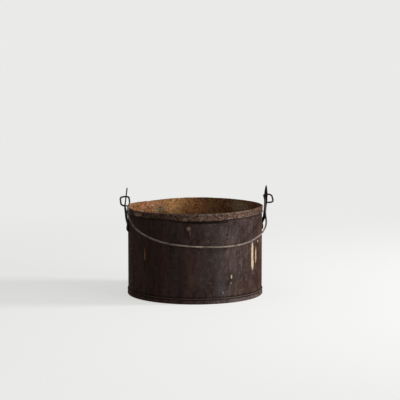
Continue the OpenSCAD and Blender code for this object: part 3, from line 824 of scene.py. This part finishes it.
def rusted_sheet():
    """Wall and bottom pan. The attributes, 0 to 1, come from build_wall and build_pan."""
    m = Shader("rusted_sheet")
    inside, hem, ridge = (m.attribute(name) for name in ("inside", "hem", "ridge"))
    streak = m.noise(95, 5, 0.6, 0.4, m.upright(0.10))
    broad = m.noise(16, 4, 0.6, 0.6)
    mottle = m.noise(170, 6, 0.62, 0.3)
    fine = m.noise(620, 4, 0.6)
    grit = m.cells(900)

    colour = sheet_outside(m, streak, broad, mottle, fine)
    colour = m.mix(m.times(hem, 0.92), colour, sheet_hem(m, ridge))
    off_hem = m.math("SUBTRACT", 1.0, hem)
    # Pale line along the fold and the flange's top edge: partly rubbed, partly a painted
    # highlight.
    rubbed_and_highlit = m.times(m.ramp(ridge, 0.3, 0.9), off_hem, 0.6)
    colour = m.mix(rubbed_and_highlit, colour, (0.105, 0.080, 0.068))
    # Dirt and painted shade under the hem, just above the flange and in its groove.
    dirt_and_shade = m.times(m.attribute("dirt_and_shade"), m.ramp(mottle, 0.85, 0.50), 0.9)
    colour = m.mix(dirt_and_shade, colour, (0.008, 0.005, 0.004))
    # Painted shadow, with some dirt, in a band under the hem across the front.
    under_hem_shadow = m.times(m.patch(10, 118.7, 34, 1.9, 0.8, 0.6, 240), off_hem, 0.80)
    colour = m.mix(under_hem_shadow, colour, (0.007, 0.005, 0.004))
    colour = m.mix(inside, colour, sheet_inside(m, mottle, grit))

    roughness = m.plus(m.times(inside, 0.12), m.ramp(mottle, 0.3, 0.75, 0.60, 0.85))
    normal = m.bump(streak, 0.0006)
    normal = m.bump(m.plus(mottle, m.times(fine, 0.4)), 0.0009, normal)
    normal = m.bump(grit, 0.0002, normal)
    return m.finish(colour, roughness, normal, 0.02)


def dark_iron(name, base, rust):
    """Forged ears and rivets: near-black iron with thin rust."""
    m = Shader(name)
    mottle = m.noise(260, 6, 0.62, 0.3)
    fine = m.noise(900, 4, 0.6)
    colour = m.mix(m.ramp(mottle, 0.42, 0.66), base, rust)
    colour = m.mix(m.ramp(fine, 0.56, 0.72, 0, 0.35), colour, (0.10, 0.042, 0.022))
    normal = m.bump(m.plus(mottle, m.times(fine, 0.3)), 0.0005)
    return m.finish(colour, m.ramp(mottle, 0.3, 0.7, 0.7, 0.92), normal, 0.03)


def worn_wire():
    """Bail: steel wire pale on the grip, partly rubbed and partly painted highlight, brown-grey on
    the legs, near black at the eyes.
    """
    m = Shader("worn_wire")
    mottle = m.noise(240, 6, 0.62, 0.3)
    fine = m.noise(1100, 4, 0.6)
    x = m.plus(m.dot((1, 0, 0)), m.times(m.centred(mottle), 0.03))
    blotch = m.ramp(mottle, 0.40, 0.62)
    steel_blotch = m.ramp(m.noise(130, 5, 0.65), 0.42, 0.60)
    steel = m.mix(steel_blotch, (0.45, 0.37, 0.295), (0.20, 0.150, 0.115))
    left = m.mix(blotch, (0.200, 0.150, 0.120), (0.085, 0.062, 0.050))
    right = m.mix(blotch, (0.30, 0.25, 0.215), (0.16, 0.125, 0.105))
    rubbed_and_highlit = m.mix(blotch, (0.36, 0.275, 0.225), (0.18, 0.132, 0.108))

    # From left to right: leg, pale shoulder, pale steel grip (both partly rubbed, partly painted
    # highlight), right shoulder, leg.
    shoulder = m.times(m.ramp(x, -0.100, -0.092), m.ramp(x, -0.050, -0.060))
    colour = m.mix(m.ramp(x, -0.060, -0.005), m.mix(shoulder, left, rubbed_and_highlit), steel)
    colour = m.mix(m.ramp(x, 0.045, 0.070), colour, right)
    colour = m.mix(m.ramp(x, 0.088, 0.097), colour, (0.085, 0.062, 0.052))
    eye = m.math("MAXIMUM", m.ramp(x, 0.1025, 0.1060), m.ramp(x, -0.1045, -0.1065))
    eye = m.math("MAXIMUM", eye, m.ramp(m.height(), 0.1385, 0.1425))
    dark = m.mix(m.ramp(fine, 0.40, 0.65), (0.018, 0.013, 0.011), (0.040, 0.025, 0.019))
    colour = m.mix(eye, colour, dark)
    rust = m.ramp(m.noise(420, 4, 0.6), 0.56, 0.66, 0, 0.7)
    colour = m.mix(rust, colour, (0.085, 0.042, 0.024))
    normal = m.bump(m.plus(mottle, m.times(fine, 0.4)), 0.0003)
    return m.finish(colour, m.ramp(mottle, 0.3, 0.7, 0.50, 0.75), normal, 0.10)


# ------------------------------------------------------------------ build

sheet = rusted_sheet()
forged = dark_iron("forged_iron", (0.022, 0.013, 0.012), (0.050, 0.027, 0.021))
riveted = dark_iron("rivet_iron", (0.036, 0.022, 0.018), (0.120, 0.062, 0.040))
build_wall(sheet)
build_pan(sheet)
build_ear("left_ear_forged", "left_ear", -1, hole_at=LEFT_HOLE, lean=7.0, twist=6.0,
          belly=1.0, turned=1.3, material=forged)
build_ear("right_ear_forged", "right_ear", 1, hole_at=RIGHT_HOLE, lean=-2.0, twist=1.0,
          belly=2.2, turned=0.0, material=forged)
for side, side_name in ((-1, "left"), (1, "right")):
    for along, end in ((-1, "front"), (1, "back")):
        node = f"{side_name}_ear_{end}_rivet"
        build_rivet(node + "_hammered", node, side, along, riveted)
build_bail(worn_wire())

# ------------------------------------------------------------------ stage, in metres

PALE = (0.825, 0.825, 0.812)
FLOOR_R, FADE_FROM, FADE_TO = 5, 0.25, 1.1


def seen_directly(tree):
    """1 for camera, glossy and transmission rays, 0 for the rays that light the object."""
    path = add_node(tree, "ShaderNodeLightPath")
    total = path.outputs["Is Camera Ray"]
    for name in ("Is Glossy Ray", "Is Transmission Ray"):
        total = add_node(tree, "ShaderNodeMath", {0: total, 1: path.outputs[name]},
                         operation="ADD", use_clamp=True).outputs[0]
    return total


def make_world():
    """Even soft light, and a pale background where it is seen directly."""
    world = bpy.data.worlds.new("studio")
    bpy.context.scene.world = world
    world.use_nodes = True
    tree = world.node_tree
    tree.nodes.clear()
    soft = add_node(tree, "ShaderNodeBackground", {"Color": (1, 1, 1), "Strength": 0.20})
    seen = add_node(tree, "ShaderNodeBackground", {"Color": PALE})
    both = add_node(tree, "ShaderNodeMixShader", {
        0: seen_directly(tree), 1: soft.outputs[0], 2: seen.outputs[0]})
    add_node(tree, "ShaderNodeOutputWorld", {0: both.outputs[0]})


def make_floor():
    """Pale floor: a soft shadow near the object, and the background's glow far off."""
    bpy.ops.mesh.primitive_circle_add(vertices=128, radius=FLOOR_R, fill_type="NGON",
                                      location=(0, 0, -0.0002))
    floor = bpy.context.object
    floor.name = "floor"
    material = bpy.data.materials.new("pale_floor")
    material.use_nodes = True
    tree = material.node_tree
    tree.nodes.clear()
    place = add_node(tree, "ShaderNodeTexCoord").outputs["Object"]
    length = add_node(tree, "ShaderNodeVectorMath", {0: place}, operation="LENGTH")

    def by_distance(near_value):
        return add_node(tree, "ShaderNodeMapRange", {
            "Value": length.outputs["Value"], "From Min": FADE_FROM, "From Max": FADE_TO,
            "To Min": near_value}, interpolation_type="SMOOTHSTEP").outputs[0]

    diffuse = add_node(tree, "ShaderNodeBsdfDiffuse", {"Color": (0.50, 0.50, 0.49)})
    black = add_node(tree, "ShaderNodeBsdfTransparent", {"Color": (0, 0, 0)})
    fade = add_node(tree, "ShaderNodeMixShader", {
        0: by_distance(0.0), 1: diffuse.outputs[0], 2: black.outputs[0]})
    strength = add_node(tree, "ShaderNodeMath", {0: by_distance(0.70), 1: seen_directly(tree)},
                        operation="MULTIPLY")
    glow = add_node(tree, "ShaderNodeEmission", {"Color": PALE, "Strength": strength.outputs[0]})
    both = add_node(tree, "ShaderNodeAddShader", {0: fade.outputs[0], 1: glow.outputs[0]})
    add_node(tree, "ShaderNodeOutputMaterial", {0: both.outputs[0]})
    floor.data.materials.append(material)


make_world()
make_floor()
